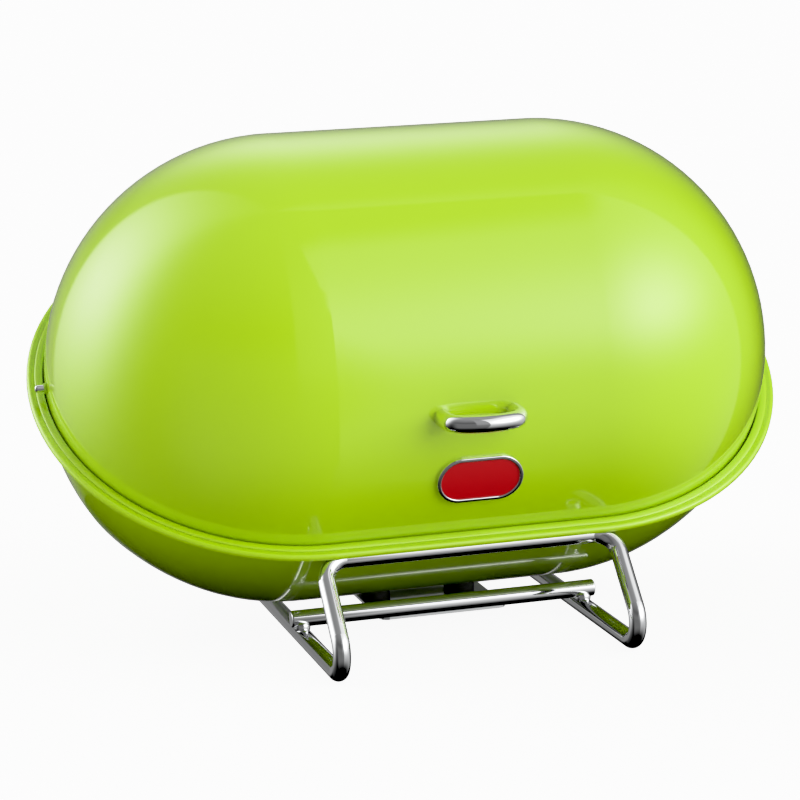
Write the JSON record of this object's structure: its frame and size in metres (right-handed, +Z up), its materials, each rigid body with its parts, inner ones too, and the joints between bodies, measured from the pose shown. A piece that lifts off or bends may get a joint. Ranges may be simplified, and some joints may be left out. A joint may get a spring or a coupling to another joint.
{
  "type": "bread box",
  "caption": "Capsule-shaped steel bread box on a bent rod cradle, with a domed lid that swings up and back into the body.",
  "frame": {"origin": "on the table plane under the middle of the body, below the lid's pivot line", "axes": "+X along the body from its left end to its right end seen from the front, -Y is the front with the handle, +Z is up"},
  "size_m": [0.3418, 0.241, 0.2184],
  "materials": {
    "lime_enamel": "gloss powder coat on steel sheet",
    "bright_chrome": "polished",
    "badge_enamel": "gloss enamel",
    "lime_nylon": "moulded",
    "zinc_plated": "bright zinc plate",
    "grey_rubber": "moulded"
  },
  "bodies": {
    "base": {"lower_shell": "lime_enamel", "pivot_pin_left": "bright_chrome", "pivot_pin_right": "bright_chrome", "hinge_bracket_left": "lime_enamel", "hinge_bracket_right": "lime_enamel", "stop_tabs": "lime_enamel", "stop_buffers": "grey_rubber", "cradle_frame": "bright_chrome", "cross_bar_front": "bright_chrome", "cross_bar_rear": "bright_chrome", "cradle_welds": "bright_chrome", "mounting_plate": "bright_chrome", "plate_spacers": "grey_rubber", "plate_washers": "zinc_plated", "plate_screws": "zinc_plated", "plate_nuts": "zinc_plated"},
    "lid_group": {"lid": "lime_enamel", "lid_handle": "bright_chrome", "handle_screws": "zinc_plated", "handle_washers": "zinc_plated", "badge_bezel": "bright_chrome", "badge_field": "badge_enamel", "badge_clips": "zinc_plated", "pivot_bush_left": "lime_nylon", "pivot_bush_right": "lime_nylon"}
  },
  "joints": [
    {"name": "lid_swing", "type": "hinge", "parent": "base", "child": "lid_group", "pos_m": [0, 0, 0.11405], "axis": [-1, 0, 0], "range_deg": [0, 100]}
  ]
}
